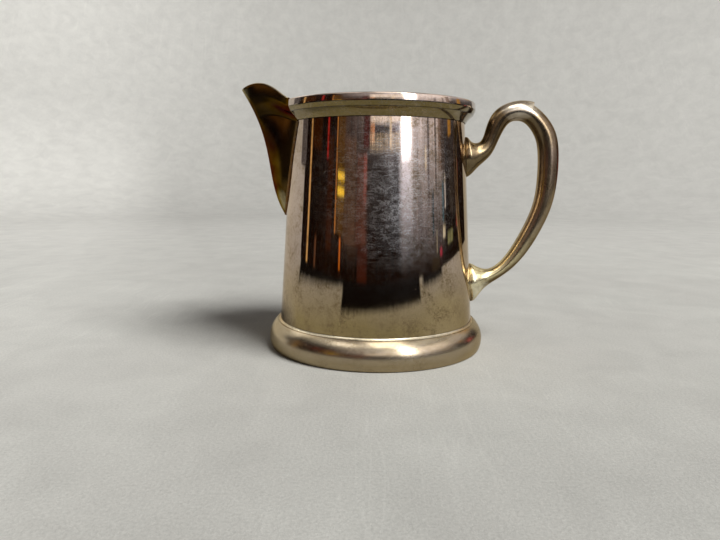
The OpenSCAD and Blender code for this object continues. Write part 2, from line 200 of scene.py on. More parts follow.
def drum_mesh():
    low = np.linspace(FOOT_T, OPENING_FOOT_Z, 40)
    high = OPENING_FOOT_Z + np.linspace(0, 1, 70) ** 2 * (DRUM_TOP_Z - OPENING_FOOT_Z)
    z = np.concatenate([low[:-1], high])[:, None]
    along = np.linspace(0, 1, RING + 1)[None, :]

    def layer(r):
        side = np.arcsin(opening_half_w(z) / r)
        a = side + along * (2 * math.pi - 2 * side)
        return np.stack([-r * np.cos(a), r * np.sin(a), z + 0 * a], -1)

    outer, inner = layer(drum_r(z)), layer(drum_in_r(z))
    rows, columns = outer.shape[:2]
    size = rows * columns
    faces = []
    for j in range(rows - 1):
        for i in range(columns - 1):
            a = j * columns + i
            faces.append((a, a + 1, a + columns + 1, a + columns))
            faces.append((size + a, size + a + columns, size + a + columns + 1, size + a + 1))
    for j in (0, rows - 1):
        for i in range(columns - 1):
            a = j * columns + i
            faces.append((a, size + a, size + a + 1, a + 1))
    first = len(low) - 1
    for j in range(first, rows - 1):
        for a in (j * columns, j * columns + columns - 1):
            faces.append((a, a + columns, size + a + columns, size + a))
    points = np.concatenate([outer.reshape(-1, 3), inner.reshape(-1, 3)])
    return points, faces


# Foot ring


def foot_profile():
    foot_r = DRUM_FOOT_R + FOOT_OVERHANG
    centre = (foot_r - FOOT_FACE_R, FOOT_BULGE_Z)
    fall = FOOT_BULGE_Z - FOOT_EDGE_R
    edge = (centre[0] + math.sqrt((FOOT_FACE_R - FOOT_EDGE_R) ** 2 - fall**2), FOOT_EDGE_R)
    edge_a = math.degrees(math.atan2(edge[1] - centre[1], edge[0] - centre[0]))
    inner_r = FOOT_FACE_R - FOOT_T
    top_a = math.degrees(math.asin((FOOT_H - FOOT_BULGE_Z) / FOOT_FACE_R))
    hollow_top_a = math.degrees(math.acos((drum_r(FOOT_H) + SLACK - centre[0]) / inner_r))
    hollow_low_a = -math.degrees(math.asin((FOOT_BULGE_Z - FOOT_T) / inner_r))
    flange_r = DRUM_FOOT_R + (DRUM_FOOT_R - DRUM_NECK_R) * FOOT_H / WALL_H - FOOT_FLANGE_W
    return (
        [[drum_r(FOOT_H) + SLACK, FOOT_H]]
        + arc(centre, FOOT_FACE_R, top_a, edge_a, 40)
        + arc(edge, FOOT_EDGE_R, edge_a, -90, 10)[1:]
        + [[flange_r, 0], [flange_r, FOOT_T]]
        + arc(centre, inner_r, hollow_low_a, hollow_top_a)
    )


# Rim moulding


def cove_r(share):
    return mix(COVE_FOOT_R, COVE_TOP_R, share) - 4 * COVE_SAG * share * (1 - share)


def rim_face_r(z):
    cove = cove_r(clamp01((z - NECK_Z) / COVE_H))
    slope = mix(COVE_TOP_R, RIM_R, clamp01((z - COVE_TOP_Z) / SLOPE_H))
    return np.where(z < COVE_TOP_Z, cove, slope)


WORN_ROUND = 0.11
RIM_GAP_A = RIM_OPEN_A + math.degrees(math.asin(SOLDER_T / RIM_R))


def rim_profile():
    cove = [[cove_r(t), NECK_Z + COVE_H * t] for t in np.linspace(0, 1, ARC + 1)]
    # The band's face, worn a little round towards the mouth
    foot_z = BAND_Z + 0.1
    face = [[RIM_R - WORN_ROUND * t * t, mix(foot_z, EDGE_Z, t)] for t in np.linspace(0, 1, 9)]
    lean = math.atan(2 * WORN_ROUND / (EDGE_Z - foot_z))
    edge_r = RIM_R - WORN_ROUND - RIM_EDGE_R * math.cos(lean)
    edge_z = EDGE_Z - RIM_EDGE_R * math.sin(lean)
    inner = drum_r(DRUM_TOP_Z) + SOLDER_T / 2
    return (
        cove
        + [[RIM_R - 0.05, BAND_Z - 0.1]]
        + face
        + arc((edge_r, edge_z), RIM_EDGE_R, math.degrees(lean), 90, 8)[1:]
        + arc((RIM_MOUTH_R + RIM_EDGE_R, EDGE_Z), RIM_EDGE_R, 90, 180, 8)
        + [[RIM_MOUTH_R, BAND_Z], [inner, DRUM_TOP_Z], [DRUM_NECK_R + SOLDER_T / 2, NECK_Z]]
    )


# Spout: one sheet, folded along its keel and dressed to the drum

KEEL_SHARES = ((0.05, 0), (0.497, 0.296), (0.256, 0.547), (1, 1))
SECTION_SIDE, SECTION_KEEL, SECTION_WIDTH, SECTION_FULL = 0.19, 0.557, 0.295, 0.3
LIP_FADE = 4
SPOUT_FOOT_SHARE = 1.17


def keel_point(v):
    p = [np.array(k, float) for k in KEEL_SHARES]
    reach, rise = np.moveaxis(bezier(*p, v[..., None]), -1, 0)
    z = mix(SPOUT_FOOT_Z, SPOUT_TIP_Z, rise)
    return np.stack([-drum_r(z) - reach * SPOUT_REACH, 0 * z, z], -1)


def side_point(v, inset):
    z = mix(SPOUT_FOOT_Z, LIP_SIDE_Z, v)
    over = z > NECK_Z
    seat = drum_r(z) + SOLDER_T
    r = np.where(over, np.maximum(rim_face_r(z), seat), seat)
    share = (z - SPOUT_FOOT_Z) / SPOUT_DROP
    half_w = np.maximum(joint_half_w(share), SPOUT_FOOT_SHARE * SPOUT_T)
    a = np.where(over, math.radians(RIM_OPEN_A), np.arcsin(np.minimum(1, half_w / r)))
    a = a - np.arcsin(inset / r)
    r = r - clamp01((z - NECK_Z) / COVE_H) * inset
    return np.stack([-r * np.cos(a), r * np.sin(a), z], -1)


def sheet_point(u, v, inset):
    """Point of the spout's sheet: u from -1 to 1 across the keel, v from the foot to the lip."""
    u, v = np.broadcast_arrays(u, v)
    w = np.abs(u)
    side, keel = side_point(v, inset), keel_point(v)
    keel[..., 0] = np.minimum(keel[..., 0] + inset, -drum_r(keel[..., 2]) - SOLDER_T)
    chord = keel - side
    full = SECTION_FULL * (1 - v)
    near = side + chord * np.stack(
        [SECTION_SIDE + full, SECTION_WIDTH + 0 * v, SECTION_SIDE + 0 * v], -1
    )
    far = keel - chord * np.stack([SECTION_KEEL - full, SECTION_KEEL + 0 * v, 0 * v], -1)
    far[..., 2] += LIP_HUMP * v**LIP_FADE
    q = bezier(side, near, far, keel, (1 - w)[..., None])
    slope = np.abs(chord[..., 0] / chord[..., 1])
    blunt = KEEL_ROUND * clamp01(np.linalg.norm(chord, axis=-1) / SPOUT_REACH)
    nose = slope * (q[..., 1] + blunt - np.hypot(q[..., 1], blunt)) * (1 - w) ** 2
    x = q[..., 0] - nose
    seat = drum_r(np.minimum(q[..., 2], NECK_Z)) + SOLDER_T
    k = np.maximum(1, seat / np.hypot(x, q[..., 1]))
    return np.stack([x * k, q[..., 1] * k * np.where(u < 0, -1, 1), q[..., 2]], -1)


def spout_mesh():
    u = np.linspace(-1, 1, SPOUT_COLUMNS + 1)[None, :]
    v = (np.linspace(0, 1, SPOUT_ROWS + 1) ** 1.15)[:, None]
    outer, inner = sheet_point(u, v, 0.0), sheet_point(u, v, SPOUT_T)
    middle, half = (outer[-1] + inner[-1]) / 2, (outer[-1] - inner[-1]) / 2
    lip = [
        middle + half * math.cos(a) + np.array([0, 0, SPOUT_T / 4]) * math.sin(a)
        for a in np.linspace(0, math.pi, 9)[1:-1]
    ]
    loop = np.concatenate([outer, np.array(lip), inner[::-1]])
    rows, columns = loop.shape[:2]
    faces = []
    for j in range(rows):
        k = (j + 1) % rows
        for i in range(columns - 1):
            a, b = j * columns + i, k * columns + i
            faces.append((a, a + 1, b + 1, b))
    for i in (0, columns - 1):
        for j in range(SPOUT_ROWS):
            back = rows - 1 - j
            faces.append(tuple(r * columns + i for r in (j, j + 1, back - 1, back)))
        tip = range(SPOUT_ROWS, SPOUT_ROWS + len(lip) + 2)
        faces.append(tuple(r * columns + i for r in tip))
    return loop.reshape(-1, 3), faces


# Handle: a cast rod that flares into a shield at each end

HANDLE_LOW_Z = FOOT_H + HANDLE_FOOT_GAP
HANDLE_H = NECK_Z - HANDLE_NECK_GAP + HANDLE_RISE - HANDLE_LOW_Z
SHIELD_UP_Z = NECK_Z - HANDLE_NECK_GAP - SHIELD_L / 2
SHIELD_LOW_Z = HANDLE_LOW_Z + SHIELD_L / 2
# Place of the rod's middle, tilt, depth and breadth, as in the part's source
HANDLE_SHARES = (
    (0.040, 0.736, 92, 1.86, 1.56),
    (0.096, 0.742, 102, 1.12, 1.16),
    (0.218, 0.767, 125, 0.79, 0.90),
    (0.272, 0.823, 145, 0.73, 0.86),
    (0.346, 0.910, 150, 0.90, 0.92),
    (0.458, 0.952, 114, 0.88, 0.97),
    (0.627, 0.959, 73, 0.92, 1.00),
    (0.750, 0.918, 52, 0.91, 1.00),
    (0.864, 0.839, 18, 1.00, 1.00),
    (0.876, 0.741, -1, 0.99, 1.00),
    (0.864, 0.636, -7, 0.97, 0.98),
    (0.823, 0.512, -14, 0.91, 0.96),
    (0.724, 0.406, -26, 0.84, 0.93),
    (0.590, 0.297, -42, 0.82, 0.88),
    (0.442, 0.204, -54, 0.69, 0.80),
    (0.271, 0.140, -56, 0.54, 0.76),
    (0.126, 0.124, -84, 0.95, 1.04),
    (0.036, 0.099, -87, 1.95, 1.54),
)
STATIONS = np.array(
    [(0, SHIELD_UP_Z, 90, SHIELD_L, SHIELD_W)]
    + [
        (x * HANDLE_REACH, HANDLE_LOW_Z + z * HANDLE_H, tilt, d * ROD_DEPTH, b * ROD_BREADTH)
        for x, z, tilt, d, b in HANDLE_SHARES
    ]
    + [(0, SHIELD_LOW_Z, -90, SHIELD_L, SHIELD_W)]
)
HANDLE_END = len(STATIONS) - 1
SHIELD_FADE, SHIELD_POINT = 1.6, 1.6
LEAF_FROM, LEAF_TO, LEAF_NARROW = 5.8, 7.42, 5


def station(s):
    """Even curve through the stations, which starts and ends on the first and last."""
    k = min(int(s), HANDLE_END - 1)
    t = s - k
    before = 2 * STATIONS[0] - STATIONS[1] if k == 0 else STATIONS[k - 1]
    after = 2 * STATIONS[-1] - STATIONS[-2] if k == HANDLE_END - 1 else STATIONS[k + 2]
    return (
        (1 - t) ** 3 * before
        + (3 * t**3 - 6 * t * t + 4) * STATIONS[k]
        + (-3 * t**3 + 3 * t * t + 3 * t + 1) * STATIONS[k + 1]
        + t**3 * after
    ) / 6


def on_drum(y, z, out):
    return np.stack([np.sqrt((drum_r(z) + out) ** 2 - y * y), y, z], -1)


def leaf(s):
    if not LEAF_FROM <= s <= LEAF_TO:
        return 0.0
    return LEAF_LIFT * ((s - LEAF_FROM) / (LEAF_TO - LEAF_FROM)) ** 2


def rod_ring(s, lift=0.0):
    a = np.radians(np.arange(ROD_SIDES) * 360 / ROD_SIDES)
    x0, z0, tilt, depth, breadth = station(s)
    part = float(clamp01(1 - min(s, HANDLE_END - s) / SHIELD_FADE))
    tilt = math.radians(tilt) + WALL_LEAN
    out = np.cos(a) * depth / 2 + lift * np.maximum(0, np.cos(a)) ** LEAF_NARROW
    y = np.sign(np.sin(a)) * np.abs(np.sin(a)) ** mix(1, SHIELD_POINT, part) * breadth / 2
    z = z0 + out * math.sin(tilt)
    if s in (0, HANDLE_END):
        return on_drum(y, z, SOLDER_T)
    seat = drum_r(z) + SOLDER_T
    x = drum_r(z0) + SOLDER_T / math.cos(WALL_LEAN) + x0 + out * math.cos(tilt)
    x = x - part**2 * (seat - np.sqrt(seat * seat - y * y))
    return np.stack([np.maximum(x, on_drum(y, z, SOLDER_T)[:, 0]), y, z], -1)


def grown(ring, k, z_mid, out):
    return on_drum(ring[:, 1] * k, mix(z_mid, ring[:, 2], k), out)


def handle_mesh():
    stops = np.arange(ROD_STEPS * HANDLE_END + 1) / ROD_STEPS
    rings = [rod_ring(s, leaf(s)) for s in stops if s < LEAF_TO]
    rings += [rod_ring(LEAF_TO, LEAF_LIFT), rod_ring(LEAF_TO + SLACK)]
    rings += [rod_ring(s) for s in stops if s > LEAF_TO + SLACK]
    upper = [grown(rings[0], k, SHIELD_UP_Z, SOLDER_T) for k in SHIELD_RINGS]
    lower = [grown(rings[-1], k, SHIELD_LOW_Z, SOLDER_T) for k in reversed(SHIELD_RINGS)]
    ends = [on_drum(np.float64(0), np.float64(z), SOLDER_T) for z in (SHIELD_UP_Z, SHIELD_LOW_Z)]
    return tube(upper + rings + lower, ends)


# Solder

WAVES = ((1.0, 0.3), (2.31, 1.7), (3.83, 4.1))
BEAD_WAVES, BEAD_HOLLOW, BEAD_UNEVEN = 37, 0.09, 0.28
SEAM_LEAST, SEAM_UNEVEN, SEAM_BEATS = 0.88, 0.12, (0.9, 0.37)
SEAM_STEPS, SEAM_FOOT_U, SEAM_TOP_GAP = 70, 0.75, 0.4
# Edge of the film under a shield: share of the shield's size, and of the film's thickness
FILM_EDGE = ((1.12, 0), (1.09, 0.6), (1.02, 1))


def ripple(a, count):
    """Uneven wave round a ring, between -1 and 1."""
    return sum(math.sin(round(count * k) * a + phase) for k, phase in WAVES) / len(WAVES)


def foot_solder_mesh():
    z = FOOT_H + SLACK
    r = drum_r(z) + SLACK
    top = drum_r(z + BEAD_LEG) + SLACK
    hump = [mix(r + BEAD_LEG, top, 0.5) - BEAD_HOLLOW, z + BEAD_LEG * 0.42]

    def sway(a, radius):
        if radius <= r + 1e-6:
            return 0
        wave = 0.5 + 0.5 * ripple(a, BEAD_WAVES)
        return -BEAD_LEG * BEAD_UNEVEN * wave * (radius - r) / BEAD_LEG

    return lathe([[r, z], [r + BEAD_LEG, z], hump, [top, z + BEAD_LEG]], sway=sway)


def bottom_solder_mesh():
    z = BOTTOM_RECESS - SLACK
    r = drum_in_r(z) - SLACK
    low = drum_in_r(z - BEAD_LEG) - SLACK
    return lathe([[r, z], [low, z - BEAD_LEG], [r - 0.25, z - 0.25], [r - BEAD_LEG, z]])


def rim_solder_mesh():
    z = DRUM_TOP_Z + SLACK
    top = z + BEAD_LEG
    foot = drum_r(DRUM_TOP_Z) + SOLDER_T / 2

    def inner_r(h):
        return mix(foot, RIM_MOUTH_R, (h - DRUM_TOP_Z) / (BAND_Z - DRUM_TOP_Z))

    profile = [
        [drum_in_r(DRUM_TOP_Z) + SLACK, z],
        [inner_r(z) - SLACK, z],
        [inner_r(top) - SLACK, top],
        [inner_r(z) - 0.3, z + 0.22],
    ]
    return lathe(profile, RIM_GAP_A - 180, 180 - RIM_GAP_A)


def spout_solder_mesh():
    top_v = (NECK_Z - SEAM_TOP_GAP - SPOUT_FOOT_Z) / (LIP_SIDE_Z - SPOUT_FOOT_Z)
    rows = [(1.0, v) for v in np.linspace(0, top_v, SEAM_STEPS)]
    foot = [(u, 0.0) for u in np.linspace(-SEAM_FOOT_U, SEAM_FOOT_U, 9)]
    path = [(-u, v) for u, v in reversed(rows)] + foot + rows
    corner = [sheet_point(np.float64(u), np.float64(v), 0.0) for u, v in path]
    loops = []
    for k, here in enumerate(corner):
        along = corner[min(len(corner) - 1, k + 1)] - corner[max(0, k - 1)]
        along = along / np.linalg.norm(along)
        radial = np.array([here[0], here[1], 0]) / np.hypot(here[0], here[1])
        away = np.cross(radial, along)
        away = away / np.linalg.norm(away)
        wave = math.sin(k * SEAM_BEATS[0]) * math.sin(k * SEAM_BEATS[1])
        leg = BEAD_LEG * (SEAM_LEAST + SEAM_UNEVEN * wave)
        start, low = here + away * SLACK, here + away * leg
        loop = []
        for p in (start, low):
            r = (drum_r(p[2]) + SLACK) / np.hypot(p[0], p[1])
            loop.append((p[0] * r, p[1] * r, p[2]))
        loop.append(tuple(here + away * (SLACK + 0.2 * leg) + radial * leg * 0.3))
        loop.append(tuple(here + away * SLACK + radial * leg / 2))
        loops.append(loop)
    points, faces = tube(loops)
    n = len(points)
    return points, faces + [(3, 2, 1, 0), (n - 4, n - 3, n - 2, n - 1)]


def shield_solder_mesh(ring, z_mid):
    low, high = SLACK, SOLDER_T - SLACK
    loops = [grown(ring, k, z_mid, low) for k in (*SHIELD_RINGS, 1)]
    loops += [grown(ring, k, z_mid, mix(low, high, share)) for k, share in FILM_EDGE]
    loops += [grown(ring, k, z_mid, high) for k in reversed(SHIELD_RINGS)]
    ends = [on_drum(np.float64(0), np.float64(z_mid), out) for out in (low, high)]
    return tube(loops, ends)


# Materials


def add(tree, kind, inputs=None, **settings):
    """A shader node, with its settings, and each input set or linked by name or number."""
    node = tree.nodes.new("ShaderNode" + kind)
    for key, value in settings.items():
        setattr(node, key, value)
    for key, value in (inputs or {}).items():
        socket = node.inputs[key]
        if isinstance(value, bpy.types.NodeSocket):
            tree.links.new(value, socket)
        else:
            socket.default_value = value
    return node


def new_material(name):
    material = bpy.data.materials.new(name)
    material.use_nodes = True
    tree = material.node_tree
    return material, tree, tree.nodes["Principled BSDF"]


def noise(tree, vector, scale, detail=4.0, rough=0.55, warp=0.0):
    inputs = {"Vector": vector, "Scale": scale, "Detail": detail, "Roughness": rough}
    inputs["Distortion"] = warp
    return add(tree, "TexNoise", inputs).outputs["Fac"]


def span(tree, value, low, high, to_low=0.0, to_high=1.0):
    inputs = {"Value": value, "From Min": low, "From Max": high}
    inputs.update({"To Min": to_low, "To Max": to_high})
    return add(tree, "MapRange", inputs, clamp=True).outputs["Result"]


def maths(tree, operation, a, b=0.0):
    return add(tree, "Math", {0: a, 1: b}, operation=operation).outputs[0]


def times(tree, a, b):
    return maths(tree, "MULTIPLY", a, b)


def plus(tree, a, b):
    return maths(tree, "ADD", a, b)


def blend(tree, factor, a, b, kind="MIX"):
    inputs = {0: factor, 6: a, 7: b}
    return add(tree, "Mix", inputs, data_type="RGBA", blend_type=kind).outputs[2]


def rgb(r, g, b):
    return (r, g, b, 1.0)


def bands(tree, height, rings):
    """How much a height lies on one of the rings, each a height and a half width in millimetres."""
    total = 0.0
    for z, half in rings:
        off = maths(tree, "ABSOLUTE", maths(tree, "SUBTRACT", height, z * MM))
        total = maths(tree, "MAXIMUM", span(tree, off, 0.3 * half * MM, half * MM, 1.0, 0.0), total)
    return total


def scratches(tree, place, turn, scale, width):
    """Thin uneven lines that run across the turn."""
    way = add(tree, "Mapping", {"Vector": place, "Rotation": turn, "Scale": scale}).outputs[0]
    field = noise(tree, way, 1.0, 1.5, 0.5, 0.15)
    off = maths(tree, "ABSOLUTE", maths(tree, "SUBTRACT", field, 0.5))
    return span(tree, off, 0.0, width, 1.0, 0.0)


def away_from(tree, place, middle, cloud):
    """Distance from a point in millimetres, a little uneven."""
    off = add(tree, "VectorMath", {0: place, 1: [c * MM for c in middle]}, operation="SUBTRACT")
    away = add(tree, "VectorMath", {0: off.outputs[0]}, operation="LENGTH").outputs["Value"]
    return plus(tree, away, span(tree, cloud, 0.3, 0.7, -0.003, 0.003))


PIT_TINT, CREASE_SHADE_TINT = (0.06, 0.045, 0.03), (0.05, 0.035, 0.015)
BLOOM_ROUGH, BLOOM_IOR = 0.42, 3.0
CLOUD, PATCH, GRAIN, SPECK, DUST, WAVY = 38, 150, 1100, 3200, 2400, 60
BRUSHED, CLUMPED, DASHED = (40, 40, 1050), (330, 330, 640), (330, 330, 2500)
ACROSS, ALONG = (25, 25, 800), (700, 700, 20)


def plate(name, clean, warm, stain, polish=0.05, haze=0.1, low=None, lines=0.3, dents=0.4,
          worn=1.0, veil=0.3, rings=(), painted_tilts=(), tarnish_and_painted_spots=(), rubbed=None, glance=(1.0, 1.0, 1.0)):
    """Worn silver plate. clean, warm and stain are its tints, polish its least roughness and haze
    how much fine scratches dull it. low is a tint that takes over below a height, as (tint, from,
    to, wander). lines and dents are the strength of polishing lines and of waviness, worn that
    of stains and pits, and veil that of the pale bloom which old scratches leave. rings are
    creases darkened with painted shade, as (height, half width). tilts are painted shade and
    painted highlights, the tints of faces that look up or down, as (1 or -1, tint, from, to).
    spots are patches of another tint, as (middle and radius in millimetres, tint and, if it has
    one, tint at a low angle): tarnish on the solder, and painted reflections of the room, painted
    highlights and painted shade on the other pieces. rubbed is the middle and radius of the place
    that was rubbed most. glance is the tint where the plate is seen at a low angle."""
    material, tree, shader = new_material(name)
    place = add(tree, "TexCoord").outputs["Object"]
    level = add(tree, "SeparateXYZ", {0: place}).outputs["Z"]
    cloud = noise(tree, place, CLOUD, 5, 0.6, 0.6)
    patch = noise(tree, place, PATCH, 6, 0.62, 0.3)
    grain = noise(tree, place, GRAIN, 3, 0.6)
    speck = noise(tree, place, SPECK, 2, 0.5)

    tint = blend(tree, span(tree, cloud, 0.36, 0.68), rgb(*clean), rgb(*warm))
    if low:
        dark, start, end, wander = low
        edge = plus(tree, level, span(tree, cloud, 0.3, 0.7, -wander, wander))
        tint = blend(tree, span(tree, edge, start, end, 1.0, 0.0), tint, rgb(*dark))
    # Painted shade and painted highlights: faces that look down or up take another tint
    for way, shade, start, end in painted_tilts:
        facing = add(tree, "TexCoord").outputs["Normal"]
        turned = times(tree, add(tree, "SeparateXYZ", {0: facing}).outputs["Z"], float(way))
        turned = plus(tree, turned, span(tree, patch, 0.3, 0.7, -0.08, 0.08))
        tint = blend(tree, span(tree, turned, start, end), tint, rgb(*shade))
    sheen = rgb(*glance)
    # Patches of tarnish and of painted reflection, painted highlight and painted shade
    for middle, radius, dark, *low_angle in tarnish_and_painted_spots:
        near = away_from(tree, place, middle, cloud)
        near = span(tree, near, 0.5 * radius * MM, radius * MM, 1.0, 0.0)
        tint = blend(tree, near, tint, rgb(*dark))
        if low_angle:
            sheen = blend(tree, near, sheen, rgb(*low_angle[0]))
    smudge = times(tree, span(tree, patch, 0.48, 0.72), span(tree, grain, 0.35, 0.65))
    tint = blend(tree, times(tree, smudge, 0.7 * worn), tint, rgb(*stain))
    fine = times(tree, span(tree, speck, 0.5, 0.72), span(tree, patch, 0.3, 0.6))
    tint = blend(tree, times(tree, fine, 0.45 * worn), tint, rgb(*stain))
    coarse = times(tree, span(tree, grain, 0.52, 0.66), span(tree, patch, 0.35, 0.6, 0.3, 1.0))
    tint = blend(tree, times(tree, coarse, 0.22 * worn), tint, rgb(*stain))
    cells = add(tree, "TexVoronoi", {"Vector": place, "Scale": 420.0, "Randomness": 1.0})
    pit = span(tree, cells.outputs["Distance"], 0.04, 0.10, 1.0, 0.0)
    pit = times(tree, pit, span(tree, patch, 0.57, 0.64))
    tint = blend(tree, times(tree, pit, 0.7 * worn), tint, rgb(*PIT_TINT))
    # Creases darkened with painted shade
    if rings:
        crease_shade = times(tree, bands(tree, level, rings), span(tree, grain, 0.3, 0.5, 0.5, 0.9))
        tint = blend(tree, crease_shade, tint, rgb(*CREASE_SHADE_TINT))
    tree.links.new(tint, shader.inputs["Base Color"])
    if isinstance(sheen, tuple):
        shader.inputs["Specular Tint"].default_value = sheen
    else:
        tree.links.new(sheen, shader.inputs["Specular Tint"])

    streaks = add(tree, "Mapping", {"Vector": place, "Scale": BRUSHED}).outputs[0]
    brushed = noise(tree, streaks, 1.0, 1.5, 0.5)
    dulled = span(tree, speck, 0.35, 0.75, 0.0, haze)
    dulled = times(tree, dulled, span(tree, patch, 0.3, 0.7, 0.3, 1.0))
    soft = span(tree, cloud, 0.3, 0.7, 0.0, 0.3 * haze)
    rough = plus(tree, plus(tree, dulled, soft), polish)
    rough = plus(tree, rough, times(tree, pit, 0.3 * worn))
    tree.links.new(rough, shader.inputs["Roughness"])

    thin = scratches(tree, place, (0.0, 0.5, 0.4), ACROSS, 0.020)
    long = scratches(tree, place, (0.3, -0.35, 0.0), ALONG, 0.016)
    dust = noise(tree, place, DUST, 3, 0.7)
    clump = add(tree, "Mapping", {"Vector": place, "Scale": CLUMPED}).outputs[0]
    clump = noise(tree, clump, 1.0, 5, 0.72, 0.1)
    clump = span(tree, clump, 0.40, 0.60, 0.10, 1.0)
    bloom = times(tree, clump, span(tree, dust, 0.36, 0.62, 0.1, 1.0))
    bloom = times(tree, bloom, span(tree, cloud, 0.30, 0.55, 0.3, 1.0))
    dashes = add(tree, "Mapping", {"Vector": place, "Scale": DASHED}).outputs[0]
    dashes = span(tree, noise(tree, dashes, 1.0, 2, 0.5), 0.56, 0.68, 0.0, 0.6)
    old_lines = span(tree, patch, 0.5, 0.6, 0.0, 0.4)
    old_lines = times(tree, maths(tree, "MAXIMUM", thin, long), old_lines)
    bloom = maths(tree, "MAXIMUM", bloom, maths(tree, "MAXIMUM", old_lines, dashes))
    if rubbed:
        middle, radius = rubbed
        away = away_from(tree, place, middle, cloud)
        away = span(tree, away, 0.35 * radius * MM, radius * MM, 1.0, 0.12)
        bloom = times(tree, bloom, away)
        bloom = times(tree, bloom, span(tree, level, 0.020, 0.036, 0.15, 1.0))
    bloom = times(tree, bloom, veil)
    tree.links.new(bloom, shader.inputs["Coat Weight"])
    tree.links.new(span(tree, bloom, 0.0, 1.0, 1.0, 0.92), shader.inputs["Metallic"])
    shader.inputs["Coat Roughness"].default_value = BLOOM_ROUGH
    shader.inputs["Coat IOR"].default_value = BLOOM_IOR

    height = times(tree, noise(tree, place, WAVY, 2, 0.4), 0.10 * dents)
    height = plus(tree, height, times(tree, grain, 0.0006))
    polished = span(tree, level, 0.035, 0.075, 0.25, 1.0)
    polished = times(tree, polished, span(tree, cloud, 0.35, 0.6, 0.3, 1.0))
    polished = times(tree, polished, times(tree, brushed, 0.004 * lines))
    height = plus(tree, height, polished)
    height = maths(tree, "SUBTRACT", height, times(tree, pit, 0.01 * worn))
    bump = add(tree, "Bump", {"Height": height, "Strength": 1.0, "Distance": 0.0005})
    tree.links.new(bump.outputs[0], shader.inputs["Normal"])
    return material


# Drum: the spots are painted reflections, patches paler or darker where the room shows in it, and
# the rings are painted shade lines above the foot seam and at the neck
drum_plate = plate(
    "drum_plate", (0.51, 0.42, 0.375), (0.45, 0.36, 0.29), (0.21, 0.15, 0.08), polish=0.025,
    haze=0.05, low=((0.34, 0.26, 0.122), 0.013, 0.036, 0.003), lines=1.1, dents=0.06, worn=1.9,
    veil=1.0, rings=((FOOT_H + BEAD_LEG, 0.2), (NECK_Z, 0.35)), rubbed=((5, -31, 58), 30),
    tarnish_and_painted_spots=(
        ((33, -6, 50), 24, (0.41, 0.31, 0.19)),
        ((-33, -5, 45), 22, (0.46, 0.375, 0.33)),
        ((-34, -10, 14), 14, (0.42, 0.34, 0.23)),
        ((25, -28, 13), 14, (0.45, 0.35, 0.19)),
    ),
    glance=(0.95, 0.86, 0.74),
)
# Foot: the low tint is painted shade, darker at the bottom edge above the floor
foot_plate = plate(
    "foot_plate", (0.46, 0.38, 0.27), (0.39, 0.31, 0.19), (0.24, 0.175, 0.09),
    polish=0.20, haze=0.10, low=((0.36, 0.285, 0.17), 0.002, 0.0045, 0.0005), lines=0.8, dents=0.3,
    glance=(0.85, 0.76, 0.60),
)
# Rim: the low tint is painted shade under the band, the rings are painted shade lines in the cove
# and under the band, and faces that look up get a painted highlight
rim_plate = plate(
    "rim_plate", (0.52, 0.43, 0.38), (0.46, 0.37, 0.29), (0.32, 0.24, 0.15), polish=0.06, haze=0.08,
    low=((0.180, 0.134, 0.046), (BAND_Z - 0.05) * MM, (BAND_Z + 0.25) * MM, 0.0001), dents=0.15,
    rings=((COVE_TOP_Z, 0.18), (BAND_Z, 0.15)), painted_tilts=((1, (0.80, 0.74, 0.66), 0.6, 0.95),),
)
# Spout: painted dark all over, a painted reflection of the shaded floor and the dark room; faces
# that look down get painted shade, faces that look up a painted highlight, and the spots are
# painted reflections, painted highlights and painted shade, as in the dark of a dimple
spout_plate = plate(
    "spout_plate", (0.125, 0.082, 0.032), (0.095, 0.054, 0.020), (0.05, 0.028, 0.010), polish=0.12,
    haze=0.08, veil=0.04,
    painted_tilts=((-1, (0.060, 0.036, 0.012), 0.0, 0.30), (1, (0.85, 0.78, 0.60), 0.35, 0.60)),
    tarnish_and_painted_spots=(
        ((-38, -10, 75), 11, (0.030, 0.014, 0.004), (0.10, 0.075, 0.02)),
        ((-51, -2, 88), 8, (0.36, 0.31, 0.18), (0.62, 0.55, 0.34)),
        ((-40, -4, 57), 5, (0.24, 0.14, 0.045), (0.62, 0.42, 0.16)),
        ((-36, -4, 50), 6.5, (0.34, 0.30, 0.19)),
        ((-36.5, -7, 55), 4, (0.012, 0.005, 0.002), (0.02, 0.009, 0.003)),
    ),
    glance=(0.46, 0.32, 0.12),
)
# Handle: the low tint is a painted golden reflection on the lower loop, faces that look down get
# painted shade, and the spots are painted highlights on the top of the loop and the lower shield
# and painted shade that dims highlights near the upper shield and on the loop's upper outer side
handle_plate = plate(
    "handle_plate", (0.40, 0.315, 0.22), (0.31, 0.225, 0.115), (0.15, 0.095, 0.035),
    polish=0.18, haze=0.12, low=((0.98, 0.86, 0.50), 0.022, 0.042, 0.003), dents=0.3, veil=0.09,
    painted_tilts=((-1, (0.14, 0.10, 0.05), 0.0, 0.45),),
    tarnish_and_painted_spots=(
        ((42, -2, 77), 12, (0.12, 0.08, 0.04)),
        ((32, 0, 67), 7, (0.22, 0.18, 0.12)),
        ((63, 0, 78), 13, (0.10, 0.072, 0.048)),
        ((67, 0, 67), 12, (0.30, 0.225, 0.16)),
        ((39, -4, 17), 7.5, (1.00, 0.94, 0.72)),
        ((50, -2, 86), 8, (0.68, 0.60, 0.48)),
    ),
    glance=(0.74, 0.61, 0.42),
)
bottom_plate = plate(
    "bottom_plate", (0.50, 0.40, 0.28), (0.42, 0.32, 0.17), (0.28, 0.20, 0.11),
    polish=0.18, haze=0.14,
)
